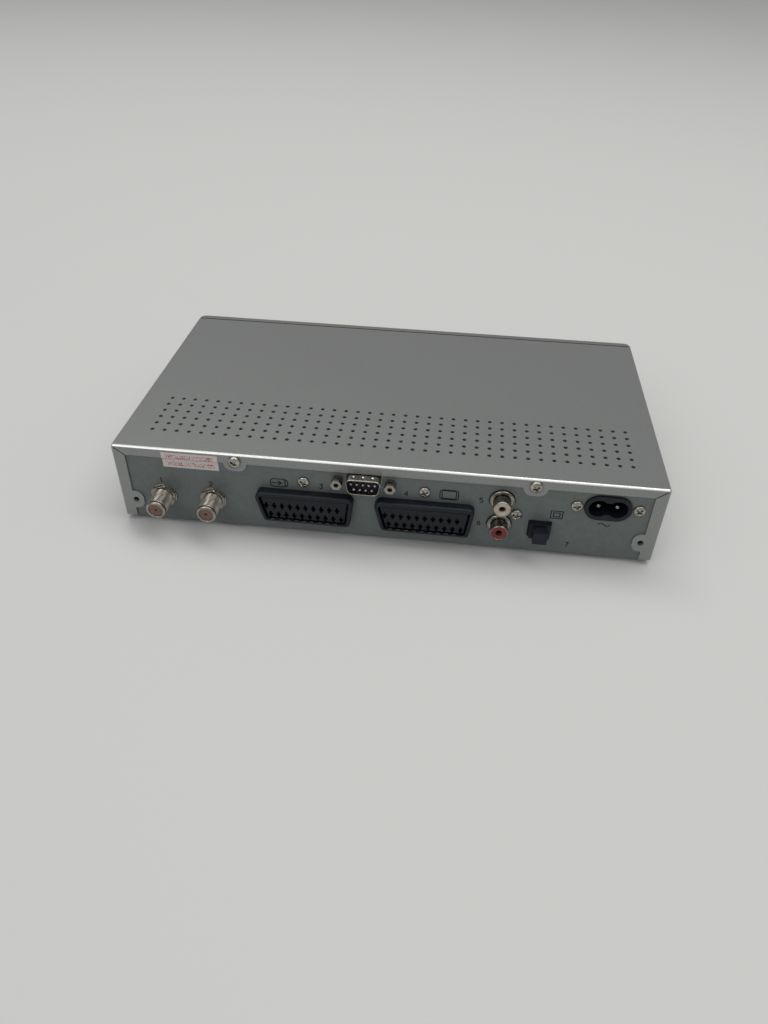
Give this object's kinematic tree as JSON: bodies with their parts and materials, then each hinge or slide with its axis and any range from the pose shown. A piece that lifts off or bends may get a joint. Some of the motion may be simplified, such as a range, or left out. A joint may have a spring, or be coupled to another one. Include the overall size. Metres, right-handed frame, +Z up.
{
  "type": "satellite tv receiver",
  "caption": "Slim silver set-top receiver: folded steel case with perforated lid, rear sockets, front display, buttons and hinged card flap.",
  "frame": {"origin": "on the table, under the middle of the receiver's overall box", "axes": "+Z up, +Y out of the rear panel, front face towards -Y, aerial barrels on the +X side"},
  "size_m": [0.258, 0.1572, 0.0445],
  "materials": {
    "cover_paint": "fine silver powder coat",
    "panel_paint": "satin grey paint",
    "bezel_plastic": "silver painted plastic",
    "flap_plastic": "silver painted plastic",
    "button_plastic": "satin silver plastic",
    "window_acrylic": "smoked gloss",
    "foot_rubber": "matte",
    "label_paper": "matt",
    "nickel": "nickel plate",
    "core_resin": "brown moulding",
    "black_plastic": "fine moulded grain",
    "blue_plastic": "moulded",
    "white_plastic": "moulded",
    "red_plastic": "moulded",
    "contact_brass": "tinned brass",
    "tinned_steel": "tinned",
    "board_laminate": "solder mask",
    "power_laminate": "phenolic board",
    "chip_resin": "moulded resin",
    "sink_metal": "extruded",
    "capacitor_sleeve": "sleeved",
    "reader_plastic": "moulded",
    "plunger_plastic": "moulded",
    "ferrite": "ferrite",
    "winding_tape": "polyester tape",
    "fuse_ceramic": "glazed tube",
    "wire_sleeve": "insulated wire",
    "lamp_lens": "clear red"
  },
  "bodies": {
    "case": {"barrel_insulators": "core_resin", "barrel_nuts": "nickel", "board_posts": "contact_brass", "board_screws": "nickel", "bulk_capacitor": "capacitor_sleeve", "card_reader": "reader_plastic", "chassis_tray": "panel_paint", "choke": "ferrite", "cover_screws": "nickel", "display_module": "reader_plastic", "display_window": "window_acrylic", "electrolytic_capacitors": "capacitor_sleeve", "front_bezel": "bezel_plastic", "front_board": "board_laminate", "front_ribbon": "wire_sleeve", "fuse": "fuse_ceramic", "infrared_receiver": "chip_resin", "main_board": "board_laminate", "mains_inlet": "black_plastic", "mains_leads": "wire_sleeve", "mains_pins": "nickel", "memory_chips": "chip_resin", "optical_socket": "black_plastic", "panel_screws": "nickel", "phono_block": "black_plastic", "phono_insert_left": "white_plastic", "phono_insert_right": "red_plastic", "phono_shells": "nickel", "power_board": "power_laminate", "power_harness": "wire_sleeve", "power_heat_sink": "sink_metal", "power_transistor": "chip_resin", "processor": "chip_resin", "processor_heat_sink": "sink_metal", "recorder_scart_housing": "black_plastic", "rubber_feet": "foot_rubber", "satellite_input_barrel": "nickel", "satellite_loop_barrel": "nickel", "scart_contacts": "contact_brass", "seal_label": "label_paper", "serial_insulator": "blue_plastic", "serial_jack_screws": "nickel", "serial_pins": "contact_brass", "serial_ribbon": "wire_sleeve", "serial_shell": "nickel", "status_lamp": "lamp_lens", "tact_switches": "black_plastic", "television_scart_housing": "black_plastic", "top_cover": "cover_paint", "transformer_core": "ferrite", "transformer_winding": "winding_tape", "tuner_can": "tinned_steel"},
    "standby_key": {"standby_button": "button_plastic", "standby_plunger": "plunger_plastic"},
    "channel_down_key": {"channel_down_button": "button_plastic", "channel_down_plunger": "plunger_plastic"},
    "channel_up_key": {"channel_up_button": "button_plastic", "channel_up_plunger": "plunger_plastic"},
    "card_flap": {"card_flap": "flap_plastic"},
    "dust_plug": {"optical_dust_plug": "black_plastic"}
  },
  "joints": [
    {"name": "standby_press", "type": "slide", "parent": "case", "child": "standby_key", "axis": [0, 1, 0], "range_m": [0, 0.0005], "stiffness_N_per_m": 2000},
    {"name": "channel_down_press", "type": "slide", "parent": "case", "child": "channel_down_key", "axis": [0, 1, 0], "range_m": [0, 0.0005], "stiffness_N_per_m": 2000},
    {"name": "channel_up_press", "type": "slide", "parent": "case", "child": "channel_up_key", "axis": [0, 1, 0], "range_m": [0, 0.0005], "stiffness_N_per_m": 2000},
    {"name": "card_flap_hinge", "type": "hinge", "parent": "case", "child": "card_flap", "pos_m": [0.088, -0.07665, 0.009], "axis": [1, 0, 0], "range_deg": [0, 90]},
    {"name": "dust_plug_pull", "type": "slide", "parent": "case", "child": "dust_plug", "axis": [0, 1, 0], "range_m": [0, 0.012]}
  ]
}
